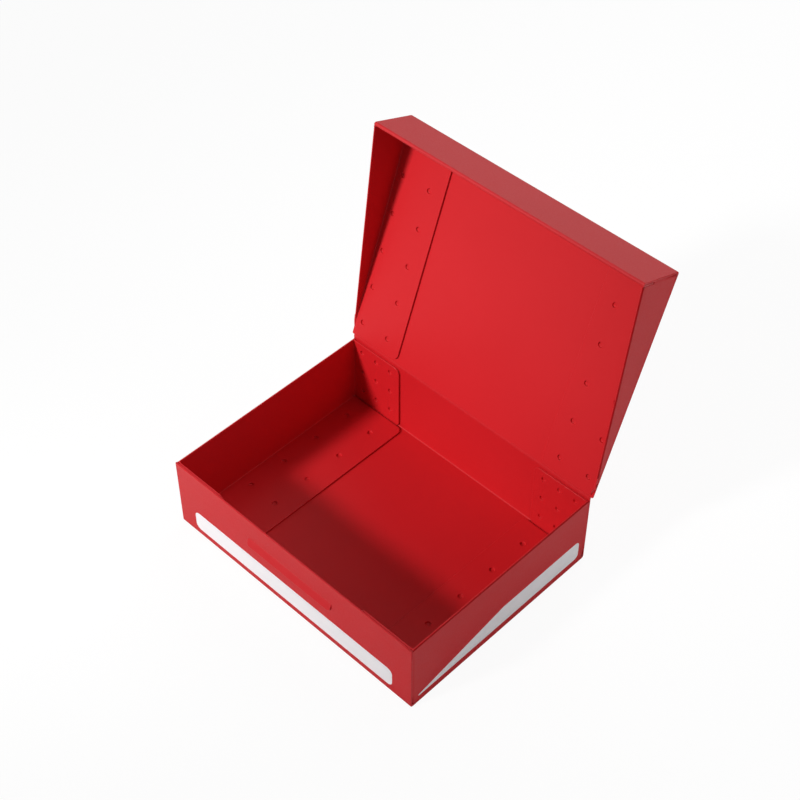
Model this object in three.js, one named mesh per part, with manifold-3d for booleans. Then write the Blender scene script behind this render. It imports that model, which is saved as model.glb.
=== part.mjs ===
// A counter box folded from thin plastic sheet: a shallow tray, and a lid that turns on a crease in the sheet.
// Lengths are in millimetres. +X is to the right, -Y to the front, +Z up.
// The origin is the middle of the floor's underside. The lid stands open.
import * as THREE from 'three';
import { mergeVertices } from 'three/addons/utils/BufferGeometryUtils.js';
import Module from 'manifold-3d';

const wasm = await Module();
wasm.setup();

// The tray, outside
const tray_length = 95;
const tray_depth = 73.2;
const wall_height = 26;

// The sheet and its folds
const sheet = 0.55;
const lap_gap = 0.1;              // between two layers that are welded together, and along a cut
const fold_inner_radius = 0.3;

// The lid
const closed_rim_height = 10.7;   // from the box's underside up to the closed lid's rim
const lid_side_play = 0.27;       // from a tray wall to the lid's side when closed
const lid_front_play = 0.3;       // from the tray's front to the lid's innermost layer when closed
const lid_rim_play = 0.1;         // from a tray rim to the flap above it when closed
const lid_open_angle = THREE.MathUtils.degToRad(110.42);
const hem_height = 4.5;
const lid_corner_radius = 0.5;    // at the hinge end of the panel

// The flaps: widths from the outside of the wall that they belong to
const tray_flap_width = 20;
const floor_flap_width = 22;
const lid_flap_width = 19.3;
const corner_flap_width = 12;
const flap_corner_radius = 2;
const flap_rim_drop = 0.5;        // from the tray's rim down to a flap's top edge
const flap_hinge_gap = 1.3;       // from the hinge line to the lid flap's end

// The weld spots, pressed into the flaps
const weld_radius = 1.15;
const weld_foot_radius = 0.75;
const weld_depth = 0.32;
const weld_sides = 12;
const tray_weld_columns = 3;
const tray_weld_rows = 3;
const tray_weld_first = 4.3;      // from the wall's outside to the first column
const tray_weld_pitch = 6;
const tray_weld_low = 5.9;        // from the underside to the lowest row
const tray_weld_high = 3;         // from the flap's top down to the highest row
const floor_weld_columns = 2;
const floor_weld_rows = 5;
const floor_weld_first = 5;
const floor_weld_pitch = 10.5;
const floor_weld_margin = 8;      // from the end of the flap to the first row
const lid_weld_columns = 2;
const lid_weld_rows = 5;
const lid_weld_first = 3.3;
const lid_weld_pitch = 10.5;
const lid_weld_start = 6.1;       // from the hinge line to the first row
const lid_weld_end = 16.265;      // from the last row to the lid's front fold
const corner_weld_columns = 2;
const corner_weld_first = 4.4;
const corner_weld_pitch = 4.6;
const corner_weld_inset = 3.4;    // from the corner flap's ends to its two rows

// The snap tongue, cut out of the front wall and bent out
const tongue_length = 33.8;
const tongue_drop = 2.6;          // from its fold to its free edge
const tongue_corner_radius = 1.1;
const tongue_out_angle = THREE.MathUtils.degToRad(20);
const catch_play = 0.2;           // from the closed lid's hem up to the tongue's free edge

// The printed bands
const print_thickness = 0.05;
const front_band_foot = 2.85;
const front_band_lid_gap = 0.6;   // from the band's top up to the closed lid's rim
const front_band_left_margin = 6.7;
const front_band_right_margin = 7.15;
const front_band_radius = 1.9;
const side_band_foot = 2.8;
const side_band_lid_gap = 0.55;
const side_band_front_margin = 3;
const side_band_back_margin = 3.1;
const side_band_bend = 37.3;      // from the tray's front to where the top edge becomes level
const side_band_tip_height = 0.5;
const side_band_radius = 1.6;

// One named overrun serves all cuts
const overrun = 1;
const arc_steps = 6;
const crease_steps = 16;

// Worked out from the sizes above
const fold_radius = fold_inner_radius + sheet;
const half_length = tray_length / 2;
const half_depth = tray_depth / 2;
const half_sheet = sheet / 2;
const crease_reach = half_sheet + lap_gap;
const hinge_y = half_depth - half_sheet;
const hinge_z = wall_height + lid_rim_play + sheet + lap_gap + half_sheet;
const lid_half_length = half_length + lid_side_play + sheet;
const lid_depth = half_depth + hinge_y + lid_front_play + sheet + lap_gap + sheet;
const lid_front_height = hinge_z + half_sheet - closed_rim_height;
const tongue_fold_height = closed_rim_height + hem_height + catch_play + tongue_drop;

const red_sheet = { color: 0xc62a30, roughness: 0.42, metalness: 0 };
const white_print = { color: 0xf1f0f2, roughness: 0.5, metalness: 0 };

// A solid for joining and cutting, from a closed three.js geometry
function solid_of(geometry) {
  const bare = geometry.clone();
  bare.deleteAttribute('normal');
  bare.deleteAttribute('uv');
  const merged = mergeVertices(bare);
  return new wasm.Manifold(new wasm.Mesh({
    numProp: 3,
    vertProperties: new Float32Array(merged.attributes.position.array),
    triVerts: new Uint32Array(merged.index.array),
  }));
}

function geometry_of(solid) {
  const mesh = solid.getMesh();
  const geometry = new THREE.BufferGeometry();
  geometry.setAttribute('position', new THREE.BufferAttribute(new Float32Array(mesh.vertProperties), 3));
  geometry.setIndex(new THREE.BufferAttribute(new Uint32Array(mesh.triVerts), 1));
  return geometry;
}

// The same shape mirrored across the box's middle, left to right or front to back
function mirrored(geometry, across) {
  const flipped = geometry.clone().scale(across === 'x' ? -1 : 1, across === 'y' ? -1 : 1, 1);
  const corners = geometry.index ? Array.from(geometry.index.array)
    : Array.from({ length: geometry.attributes.position.count }, (_, i) => i);
  for (let i = 0; i < corners.length; i += 3) {
    [corners[i], corners[i + 1]] = [corners[i + 1], corners[i]];
  }
  flipped.setIndex(corners);
  return flipped;
}

// Which way each of a flat outline's axes, and its thickness, points in the box
const axis_x = new THREE.Vector3(1, 0, 0);
const axis_y = new THREE.Vector3(0, 1, 0);
const axis_z = new THREE.Vector3(0, 0, 1);
const lying = new THREE.Matrix4().makeBasis(axis_x, axis_y, axis_z);
const facing_side = new THREE.Matrix4().makeBasis(axis_y, axis_z, axis_x);
const facing_front = new THREE.Matrix4().makeBasis(axis_x, axis_z, axis_y.clone().negate());

// An outline pushed through a thickness, from a starting plane along the outline's own third axis
function extruded(outline, thickness, basis, start) {
  const geometry = new THREE.ExtrudeGeometry(outline, {
    depth: thickness, bevelEnabled: false, curveSegments: arc_steps,
  });
  geometry.translate(0, 0, start);
  return geometry.applyMatrix4(basis);
}

// Points along an arc, both ends included
function arc_points(centre_a, centre_b, radius, from_angle, to_angle) {
  const points = [];
  for (let i = 0; i <= arc_steps; i += 1) {
    const angle = from_angle + (to_angle - from_angle) * (i / arc_steps);
    points.push([centre_a + radius * Math.cos(angle), centre_b + radius * Math.sin(angle)]);
  }
  return points;
}

function shape_of(points) {
  return new THREE.Shape(points.map(([a, b]) => new THREE.Vector2(a, b)));
}

// A rectangle with its own radius at each corner: lower left, lower right, upper right, upper left
function rounded_rectangle(left, low, right, high, radii) {
  const [r0, r1, r2, r3] = radii;
  const shape = new THREE.Shape();
  shape.moveTo(left + r0, low);
  shape.lineTo(right - r1, low);
  if (r1 > 0) shape.absarc(right - r1, low + r1, r1, -Math.PI / 2, 0, false);
  shape.lineTo(right, high - r2);
  if (r2 > 0) shape.absarc(right - r2, high - r2, r2, 0, Math.PI / 2, false);
  shape.lineTo(left + r3, high);
  if (r3 > 0) shape.absarc(left + r3, high - r3, r3, Math.PI / 2, Math.PI, false);
  shape.lineTo(left, low + r0);
  if (r0 > 0) shape.absarc(left + r0, low + r0, r0, Math.PI, Math.PI * 1.5, false);
  return shape;
}

// The end view of a flap: a quarter fold that leaves its wall, and the leg that lies on the next panel.
// a runs inwards from the wall's outside, b from the start of the fold towards the next panel.
function fold_and_leg(width, place) {
  const points = [
    ...arc_points(fold_radius, 0, fold_radius, Math.PI, Math.PI / 2),
    [width, fold_radius],
    [width, fold_radius - sheet],
    ...arc_points(fold_radius, 0, fold_inner_radius, Math.PI / 2, Math.PI),
  ];
  return shape_of(points.map(place));
}

// A weld spot's cutter, pointing down -Z from the face that it is pressed into
function weld_cutter() {
  const flare = (weld_radius - weld_foot_radius) / weld_depth;
  return new THREE.LatheGeometry([
    new THREE.Vector2(0, -weld_depth),
    new THREE.Vector2(weld_foot_radius, -weld_depth),
    new THREE.Vector2(weld_radius + flare * overrun, overrun),
    new THREE.Vector2(0, overrun),
  ], weld_sides).rotateX(Math.PI / 2);
}

// The flap with its weld spots pressed in, each cutter placed on the flap's inner face
function press_welds(flap, places, place_cutter) {
  let solid = flap;
  for (const spot of places) {
    solid = solid.subtract(solid_of(place_cutter(weld_cutter(), spot)));
  }
  return geometry_of(solid);
}

// Every column and row of a grid of weld spots
function weld_grid(columns, rows) {
  return columns.flatMap((column) => rows.map((row) => [column, row]));
}

function spaced(first, pitch, count) {
  return Array.from({ length: count }, (_, i) => first + pitch * i);
}

function spread(first, last, count) {
  return spaced(first, (last - first) / (count - 1), count);
}

function mesh_of(name, geometry, look) {
  const mesh = new THREE.Mesh(geometry, new THREE.MeshStandardMaterial(look));
  mesh.name = name;
  return mesh;
}

const box = new THREE.Group();

// The tray's main sheet: floor with two folds, front wall, back wall
const fold_start_y = half_depth - fold_radius;

function floor_panel() {
  const outer_front = arc_points(-fold_start_y, fold_radius, fold_radius, Math.PI, Math.PI * 1.5);
  const outer_back = arc_points(fold_start_y, fold_radius, fold_radius, -Math.PI / 2, 0);
  const inner_back = arc_points(fold_start_y, fold_radius, fold_inner_radius, 0, -Math.PI / 2);
  const inner_front = arc_points(-fold_start_y, fold_radius, fold_inner_radius, Math.PI * 1.5, Math.PI);
  const profile = shape_of([...outer_front, ...outer_back, ...inner_back, ...inner_front]);
  return extruded(profile, tray_length, facing_side, -half_length);
}

function front_wall() {
  const outline = rounded_rectangle(-half_length, fold_radius, half_length, wall_height, [0, 0, 0, 0]);
  const slot_half = tongue_length / 2 + lap_gap;
  const slot_radius = tongue_corner_radius + lap_gap;
  const slot = rounded_rectangle(
    -slot_half, tongue_fold_height - tongue_drop - lap_gap,
    slot_half, tongue_fold_height + crease_reach, [slot_radius, slot_radius, 0, 0],
  );
  const wall = solid_of(extruded(outline, sheet, facing_front, half_depth - sheet));
  const cutter = solid_of(extruded(slot, sheet + 2 * overrun, facing_front, half_depth - sheet - overrun));
  return geometry_of(wall.subtract(cutter));
}

function back_wall() {
  const outline = rounded_rectangle(-half_length, fold_radius, half_length, hinge_z - crease_reach, [0, 0, 0, 0]);
  return extruded(outline, sheet, facing_front, -half_depth);
}

box.add(mesh_of('floor_panel', floor_panel(), red_sheet));
box.add(mesh_of('front_wall', front_wall(), red_sheet));
box.add(mesh_of('back_wall', back_wall(), red_sheet));

// The hinge: the sheet's creased strip, round about the line that the lid turns on
function hinge_crease() {
  const strip = new THREE.CylinderGeometry(half_sheet, half_sheet, tray_length, crease_steps);
  return strip.rotateZ(Math.PI / 2).translate(0, hinge_y, hinge_z);
}

box.add(mesh_of('hinge_crease', hinge_crease(), red_sheet));

// The tray's side sheets: a wall with a flap at its front, its back and its foot.
// Each is drawn on the right, and mirrored for the left.
const side_fold_y = half_depth - sheet - lap_gap - fold_radius;
const side_fold_z = sheet + lap_gap + fold_radius;
const flap_top = wall_height - flap_rim_drop;
const flap_foot = fold_radius + lap_gap;

function side_wall() {
  const outline = rounded_rectangle(-side_fold_y, side_fold_z, side_fold_y, wall_height, [0, 0, 0, 0]);
  return extruded(outline, sheet, facing_side, half_length - sheet);
}

// The back flap. The fold keeps the wall's full height, and the leg is cut lower with rounded corners.
function tray_back_flap() {
  const profile = fold_and_leg(tray_flap_width, ([a, b]) => [half_length - a, side_fold_y + b]);
  const strip = solid_of(extruded(profile, wall_height - flap_foot, lying, flap_foot));
  const free_edge = half_length - tray_flap_width;
  const fold_edge = half_length - fold_radius;
  const leg = rounded_rectangle(
    free_edge, flap_foot, fold_edge + overrun, flap_top,
    [flap_corner_radius, 0, 0, flap_corner_radius],
  );
  const fold = rounded_rectangle(fold_edge, flap_foot - overrun, half_length + overrun,
    wall_height + overrun, [0, 0, 0, 0]);
  const through = side_fold_y - overrun;
  const depth = fold_radius + 2 * overrun;
  const keep_leg = solid_of(extruded(leg, depth, facing_front, -through - depth));
  const keep_fold = solid_of(extruded(fold, depth, facing_front, -through - depth));
  const face = side_fold_y + fold_radius - sheet;
  const columns = spaced(tray_weld_first, tray_weld_pitch, tray_weld_columns).map((a) => half_length - a);
  const rows = spread(tray_weld_low, flap_top - tray_weld_high, tray_weld_rows);
  const place = (cutter, [x, z]) => cutter.rotateX(Math.PI / 2).translate(x, face, z);
  return press_welds(strip.intersect(keep_leg.add(keep_fold)), weld_grid(columns, rows), place);
}

function tray_floor_flap() {
  const profile = fold_and_leg(floor_flap_width, ([a, b]) => [half_length - a, side_fold_z - b]);
  const length = 2 * side_fold_y;
  const strip = solid_of(extruded(profile, length, facing_front, -side_fold_y));
  const outline = rounded_rectangle(
    half_length - floor_flap_width, -side_fold_y, half_length + overrun, side_fold_y,
    [flap_corner_radius, 0, 0, flap_corner_radius],
  );
  const keep = solid_of(extruded(outline, side_fold_z + 2 * overrun, lying, -overrun));
  const face = sheet + lap_gap + sheet;
  const columns = spaced(floor_weld_first, floor_weld_pitch, floor_weld_columns).map((a) => half_length - a);
  const reach = side_fold_y - floor_weld_margin;
  const rows = spread(-reach, reach, floor_weld_rows);
  const place = (cutter, [x, y]) => cutter.translate(x, y, face);
  return press_welds(strip.intersect(keep), weld_grid(columns, rows), place);
}

const tray_wall = side_wall();
const back_flap = tray_back_flap();
const floor_flap = tray_floor_flap();
const tray_sides = [
  ['wall', tray_wall],
  ['back_flap', back_flap],
  ['front_flap', mirrored(back_flap, 'y')],
  ['floor_flap', floor_flap],
];
for (const [piece, geometry] of tray_sides) {
  box.add(mesh_of(`left_${piece}`, mirrored(geometry, 'x'), red_sheet));
  box.add(mesh_of(`right_${piece}`, geometry, red_sheet));
}

// The snap tongue, drawn about its fold and hanging down, then bent out
function snap_tongue() {
  const outline = rounded_rectangle(
    -tongue_length / 2, -tongue_drop, tongue_length / 2, 0,
    [tongue_corner_radius, tongue_corner_radius, 0, 0],
  );
  const blade = solid_of(extruded(outline, sheet, facing_front, -half_sheet));
  const root = new THREE.CylinderGeometry(half_sheet, half_sheet, tongue_length, crease_steps);
  return geometry_of(blade.add(solid_of(root.rotateZ(Math.PI / 2))));
}

const tongue = new THREE.Group();
tongue.position.set(0, half_sheet - half_depth, tongue_fold_height);
tongue.rotation.x = -tongue_out_angle;
tongue.add(mesh_of('snap_tongue', snap_tongue(), red_sheet));
box.add(tongue);

// The printed bands, on the outside of the front and side walls
function front_band() {
  const outline = rounded_rectangle(
    front_band_left_margin - half_length, front_band_foot,
    half_length - front_band_right_margin, closed_rim_height - front_band_lid_gap,
    Array(4).fill(front_band_radius),
  );
  return extruded(outline, print_thickness, facing_front, half_depth);
}

// The side band tapers to a blunt tip at the front
function side_band() {
  const tip_y = side_band_front_margin - half_depth;
  const back_y = half_depth - side_band_back_margin;
  const top = closed_rim_height - side_band_lid_gap;
  const turn_y = back_y - side_band_radius;
  const shape = new THREE.Shape();
  shape.moveTo(tip_y, side_band_foot);
  shape.lineTo(turn_y, side_band_foot);
  shape.absarc(turn_y, side_band_foot + side_band_radius, side_band_radius, -Math.PI / 2, 0, false);
  shape.lineTo(back_y, top - side_band_radius);
  shape.absarc(turn_y, top - side_band_radius, side_band_radius, 0, Math.PI / 2, false);
  shape.lineTo(side_band_bend - half_depth, top);
  shape.lineTo(tip_y, side_band_foot + side_band_tip_height);
  return extruded(shape, print_thickness, facing_side, half_length);
}

box.add(mesh_of('front_band', front_band(), white_print));
box.add(mesh_of('left_band', mirrored(side_band(), 'x'), white_print));
box.add(mesh_of('right_band', side_band(), white_print));

// The lid, drawn closed with the hinge line as its origin, then opened
const lid = new THREE.Group();
lid.position.set(0, hinge_y, hinge_z);
lid.rotation.x = -lid_open_angle;
box.add(lid);

const lid_rim = half_sheet - lid_front_height;
const hem_radius = sheet + lap_gap / 2;
const hem_turn = lid_rim + hem_radius;
const hem_top = lid_rim + hem_height;
const lid_fold_y = lid_depth - sheet - lap_gap - fold_radius;
const lid_fold_z = -half_sheet - lap_gap - fold_radius;

function lid_panel() {
  const outline = rounded_rectangle(
    -lid_half_length, fold_radius - lid_depth, lid_half_length, -crease_reach,
    [0, 0, lid_corner_radius, lid_corner_radius],
  );
  return extruded(outline, sheet, lying, -half_sheet);
}

// The lid's front: a quarter fold down from the panel, then the wall as far as the hem's turn
function lid_front_wall() {
  const fold_y = fold_radius - lid_depth;
  const fold_z = half_sheet - fold_radius;
  const profile = shape_of([
    ...arc_points(fold_y, fold_z, fold_radius, Math.PI / 2, Math.PI),
    [-lid_depth, hem_turn],
    [sheet - lid_depth, hem_turn],
    ...arc_points(fold_y, fold_z, fold_inner_radius, Math.PI, Math.PI / 2),
  ]);
  return extruded(profile, 2 * lid_half_length, facing_side, -lid_half_length);
}

// The hem: a half turn at the rim, and a leg back up inside the wall
function lid_front_hem() {
  const turn_y = hem_radius - lid_depth;
  const profile = shape_of([
    ...arc_points(turn_y, hem_turn, hem_radius, Math.PI, 2 * Math.PI),
    [turn_y + hem_radius, hem_top],
    [turn_y + lap_gap / 2, hem_top],
    ...arc_points(turn_y, hem_turn, lap_gap / 2, 2 * Math.PI, Math.PI),
  ]);
  return extruded(profile, 2 * lid_half_length, facing_side, -lid_half_length);
}

// The lid's side: level with the rim at the front, running out at the hinge
function lid_side_wall() {
  const outline = shape_of([
    [-lid_fold_y, lid_rim],
    [-flap_hinge_gap, lid_fold_z],
    [-lid_fold_y, lid_fold_z],
  ]);
  return extruded(outline, sheet, facing_side, lid_half_length - sheet);
}

function lid_side_flap() {
  const profile = fold_and_leg(lid_flap_width, ([a, b]) => [lid_half_length - a, lid_fold_z + b]);
  const strip = solid_of(extruded(profile, lid_fold_y - flap_hinge_gap, facing_front, flap_hinge_gap));
  const outline = rounded_rectangle(
    lid_half_length - lid_flap_width, -lid_fold_y, lid_half_length + overrun, -flap_hinge_gap,
    [flap_corner_radius, 0, 0, flap_corner_radius],
  );
  const keep = solid_of(extruded(outline, fold_radius + 2 * overrun, lying, lid_fold_z - overrun));
  const face = lid_fold_z + fold_inner_radius;
  const columns = spaced(lid_weld_first, lid_weld_pitch, lid_weld_columns).map((a) => lid_half_length - a);
  const rows = spread(-lid_weld_start, lid_weld_end - lid_fold_y, lid_weld_rows);
  const place = (cutter, [x, y]) => cutter.rotateX(Math.PI).translate(x, y, face);
  return press_welds(strip.intersect(keep), weld_grid(columns, rows), place);
}

function lid_corner_flap() {
  const low = hem_top + lap_gap;
  const profile = fold_and_leg(corner_flap_width, ([a, b]) => [lid_half_length - a, -lid_fold_y - b]);
  const strip = solid_of(extruded(profile, lid_fold_z - low, lying, low));
  const outline = rounded_rectangle(
    lid_half_length - corner_flap_width, low, lid_half_length + overrun, lid_fold_z,
    [flap_corner_radius, 0, 0, flap_corner_radius],
  );
  const keep = solid_of(extruded(outline, fold_radius + 2 * overrun, facing_front, lid_fold_y - overrun));
  const face = -lid_fold_y - fold_inner_radius;
  const columns = spaced(corner_weld_first, corner_weld_pitch, corner_weld_columns).map((a) => lid_half_length - a);
  const rows = [low + corner_weld_inset, lid_fold_z - corner_weld_inset];
  const place = (cutter, [x, z]) => cutter.rotateX(-Math.PI / 2).translate(x, face, z);
  return press_welds(strip.intersect(keep), weld_grid(columns, rows), place);
}

lid.add(mesh_of('lid_panel', lid_panel(), red_sheet));
lid.add(mesh_of('lid_front_wall', lid_front_wall(), red_sheet));
lid.add(mesh_of('lid_front_hem', lid_front_hem(), red_sheet));
const lid_sides = [
  ['wall', lid_side_wall()],
  ['flap', lid_side_flap()],
  ['corner_flap', lid_corner_flap()],
];
for (const [piece, geometry] of lid_sides) {
  lid.add(mesh_of(`lid_left_${piece}`, mirrored(geometry, 'x'), red_sheet));
  lid.add(mesh_of(`lid_right_${piece}`, geometry, red_sheet));
}

export default box;
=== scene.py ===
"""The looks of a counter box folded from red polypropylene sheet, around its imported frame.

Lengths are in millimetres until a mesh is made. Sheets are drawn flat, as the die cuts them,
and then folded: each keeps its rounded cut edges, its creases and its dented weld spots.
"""
import math

import bpy
from mathutils import Matrix, Vector
from mathutils.geometry import delaunay_2d_cdt


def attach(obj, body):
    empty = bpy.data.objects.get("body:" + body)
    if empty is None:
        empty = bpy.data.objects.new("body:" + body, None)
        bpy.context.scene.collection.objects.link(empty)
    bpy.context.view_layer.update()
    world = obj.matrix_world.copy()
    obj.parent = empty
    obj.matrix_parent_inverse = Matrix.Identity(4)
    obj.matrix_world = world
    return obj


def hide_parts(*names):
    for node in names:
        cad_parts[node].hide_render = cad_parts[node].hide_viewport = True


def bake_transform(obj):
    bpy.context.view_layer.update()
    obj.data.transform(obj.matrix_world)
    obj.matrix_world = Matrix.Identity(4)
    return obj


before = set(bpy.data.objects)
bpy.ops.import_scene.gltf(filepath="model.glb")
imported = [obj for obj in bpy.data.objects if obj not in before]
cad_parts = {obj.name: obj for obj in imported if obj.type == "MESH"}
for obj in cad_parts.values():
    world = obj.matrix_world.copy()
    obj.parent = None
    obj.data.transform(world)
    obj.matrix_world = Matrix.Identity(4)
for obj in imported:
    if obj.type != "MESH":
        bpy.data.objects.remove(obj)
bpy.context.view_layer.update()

MM = 0.001

# The box, as the frame has it
SHEET = 0.55
HALF_SHEET = SHEET / 2
LAP_GAP = 0.1
BEND_RADIUS = 0.3 + HALF_SHEET            # of a fold, at the sheet's middle
FOLD_RADIUS = 0.3 + SHEET                 # outside
FOLD_LENGTH = BEND_RADIUS * math.pi / 2
HALF_LENGTH = 47.5
HALF_DEPTH = 36.6
WALL_HEIGHT = 26.0
CREASE_REACH = HALF_SHEET + LAP_GAP
HINGE = Vector((0, HALF_DEPTH - HALF_SHEET, 27.025))
OPEN_ANGLE = math.radians(110.42)
LEAN = OPEN_ANGLE - math.pi / 2           # how far the open lid leans back
RIGHT = Vector((1, 0, 0))

LID_HALF_LENGTH = 48.32
LID_DEPTH = 74.425                        # from the hinge line to the lid's front
LID_RIM = -16.325                         # below the panel's middle
HEM_HEIGHT = 4.5
HEM_BEND = LAP_GAP / 2 + HALF_SHEET
HEM_TURN = LID_RIM + LAP_GAP / 2 + SHEET
HEM_TOP = LID_RIM + HEM_HEIGHT
LID_CORNER_RADIUS = 0.35                  # the frame has 0.5, where this mesh showed a dark line at the hinge

SIDE_FOLD_Y = HALF_DEPTH - SHEET - LAP_GAP - FOLD_RADIUS
SIDE_FOLD_Z = SHEET + LAP_GAP + FOLD_RADIUS
LID_FOLD_Y = LID_DEPTH - SHEET - LAP_GAP - FOLD_RADIUS
LID_FOLD_Z = -HALF_SHEET - LAP_GAP - FOLD_RADIUS
FLAP_CORNER_RADIUS = 2.0
TRAY_FLAP_WIDTH = 20.0
FLOOR_FLAP_WIDTH = 22.0
LID_FLAP_WIDTH = 19.3
CORNER_FLAP_WIDTH = 12.0
FLAP_TOP = WALL_HEIGHT - 0.2
FLAP_HINGE_GAP = 1.3
SLIT = 0.03                               # where two flaps part at a corner

TONGUE_HALF = 16.9
TONGUE_DROP = 2.6
TONGUE_FOLD_Z = 18.0
TONGUE_RADIUS = 1.1
TONGUE_OUT = math.radians(20)
TONGUE_FOLD = Vector((0, HALF_SHEET - HALF_DEPTH, TONGUE_FOLD_Z))

# The crease's depth, and the gaps that keep the bending strips clear of the sheets at their ends
CREASE_DEPTH = 0.07
WEB_END_GAP = 0.02
TONGUE_END_GAP = 0.03

# The notch where a side wall's rim steps down to its flap: its run and its two radii
RIM_NOTCH = 0.5
RIM_NOTCH_RADII = (0.6, 0.4)
LID_TAPER_RADIUS = 0.65                   # where the lid's side wall runs out at the hinge

# Columns of weld spots, from the outside of the wall that the flap leaves
TRAY_FLAP_WELDS = (4.3, 10.3, 16.3)
FLOOR_FLAP_WELDS = (5, 15.5)
LID_FLAP_WELDS = (3.3, 13.8)
CORNER_FLAP_WELDS = (4.4, 9.0)

# How finely the sheets are meshed
EDGE_RADIUS = 0.11                        # of the cut edges
END_RADII = (0.03, 0.15)                  # inside and outside, at the ends of the main sheets
RIM_ROUNDING = (0.55, 0.40)               # outside, along the side walls' rims: reach and depth
JOIN_ROUNDING = (0.02, 0.02)              # where the main sheet runs on into the crease
EDGE_STEPS = 4
GRID = 5.0
FOLD_ANGLES = (0, 12, 24, 36, 47.6, 61, 75, 90)
CORNER_STEPS = 8
DENT_SEGMENTS = 18
GRID_CLEARANCE = 0.12                     # from the edge to the nearest point of the grid
DENT_CLEARANCE = 0.3                      # from a weld spot to the nearest point of the grid
LINE_CLEARANCE = 0.6                      # from a fold's lines to the nearest other line of the grid
DENSE_STEP = 0.7                          # lines no further apart than this belong to a fold
LEAST_STEP = 0.02                         # between the points added to an outline
SAME_PLACE = 1e-5
RIM_SHADE_STEPS = 3                         # how much of a rim's outer rounding carries the painted shade line
INSET_SHARE = 0.98                        # keeps a rounding inside a sheet's inset edge

# A weld spot's section: distance from its middle, height from the flap's face, and slope
DENT_RINGS = (
    (0.40, -0.48, 0.02), (0.66, -0.47, 0.12), (0.73, -0.43, 1.2), (0.76, -0.36, 4.0), (0.835, -0.06, 4.0),
    (0.87, -0.008, 0.8), (0.92, 0, 0.1), (1.02, 0, 0),
)


def rounded(corners):
    """The points of a closed outline, from its corners (u, v, radius), anticlockwise."""
    points = []
    count = len(corners)
    for i, (u, v, radius) in enumerate(corners):
        here = Vector((u, v))
        if radius == 0:
            points.append(here)
            continue
        before = (Vector(corners[i - 1][:2]) - here).normalized()
        after = (Vector(corners[(i + 1) % count][:2]) - here).normalized()
        half = before.angle(after) / 2
        centre = here + (before + after).normalized() * (radius / math.sin(half))
        start = here + before * (radius / math.tan(half)) - centre
        sweep = math.pi - 2 * half
        turn = 1 if before.x * after.y - before.y * after.x < 0 else -1
        for k in range(CORNER_STEPS + 1):
            angle = turn * sweep * k / CORNER_STEPS
            cos, sin = math.cos(angle), math.sin(angle)
            points.append(centre + Vector((start.x * cos - start.y * sin, start.x * sin + start.y * cos)))
    return points


def with_crossings(loop, u_lines, v_lines, back):
    """The loop with a point added wherever the loop that lies back from it crosses a line of the grid."""
    points = []
    for i, a in enumerate(loop):
        b = loop[(i + 1) % len(loop)]
        length = (b - a).length
        into = Vector((a.y - b.y, b.x - a.x)) * (back / length)
        shares = set()
        for axis, lines in ((0, u_lines), (1, v_lines)):
            span = b[axis] - a[axis]
            if abs(span) < 1e-9:
                continue
            shares.update((line - a[axis] - into[axis]) / span for line in lines)
        points.append(a)
        last = 0.0
        for share in sorted(s for s in shares if 0 < s < 1):
            if min(share - last, 1 - share) * length > LEAST_STEP:
                points.append(a.lerp(b, share))
                last = share
    return points


def mitres(loop):
    """At each point of an anticlockwise loop, the way that leads straight into the sheet."""
    ways = []
    for i, here in enumerate(loop):
        a = (here - loop[i - 1]).normalized()
        b = (loop[(i + 1) % len(loop)] - here).normalized()
        normal_a, normal_b = Vector((-a.y, a.x)), Vector((-b.y, b.x))
        ways.append((normal_a + normal_b) / max(1 + normal_a.dot(normal_b), 0.3))
    return ways


def inside(point, loop):
    """Whether the point lies within the closed loop."""
    hit = False
    for i, a in enumerate(loop):
        b = loop[i - 1]
        if (a.y > point[1]) != (b.y > point[1]):
            if point[0] < (b.x - a.x) * (point[1] - a.y) / (b.y - a.y) + a.x:
                hit = not hit
    return hit


def distance_to(point, loop):
    """From the point to the nearest side of the loop."""
    nearest = 1e9
    p = Vector(point)
    for i, a in enumerate(loop):
        along = loop[i - 1] - a
        share = min(1, max(0, (p - a).dot(along) / along.length_squared))
        nearest = min(nearest, (p - a - along * share).length)
    return nearest


def dent_at(distance):
    """The height and the slope of a weld spot's face at a distance from its middle."""
    inner = (0.0, DENT_RINGS[0][1], 0.0)
    for ring in DENT_RINGS:
        if distance <= ring[0] + 1e-6:
            share = (distance - inner[0]) / (ring[0] - inner[0])
            return tuple(a + (b - a) * share for a, b in zip(inner[1:], ring[1:]))
        inner = ring
    return 0.0, 0.0


def crosses(a, b, loop):
    """Whether the straight line from a to b cuts through a side of the loop."""
    along = b - a
    for i, c in enumerate(loop):
        side = loop[i - 1] - c
        denominator = along.cross(side)
        if abs(denominator) > 1e-12:
            share, where = (c - a).cross(side) / denominator, (c - a).cross(along) / denominator
            if 1e-6 < share < 1 - 1e-6 and -1e-6 < where < 1 + 1e-6:
                return True
    return False


def lines_between(low, high, step):
    """Evenly spaced values from low to high, about a step apart."""
    count = max(1, round((high - low) / step))
    return [low + (high - low) * i / count for i in range(count + 1)]


def plain_rounding(spot, way, side):
    """A cut edge, rounded alike all round."""
    return EDGE_RADIUS, EDGE_RADIUS


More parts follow.
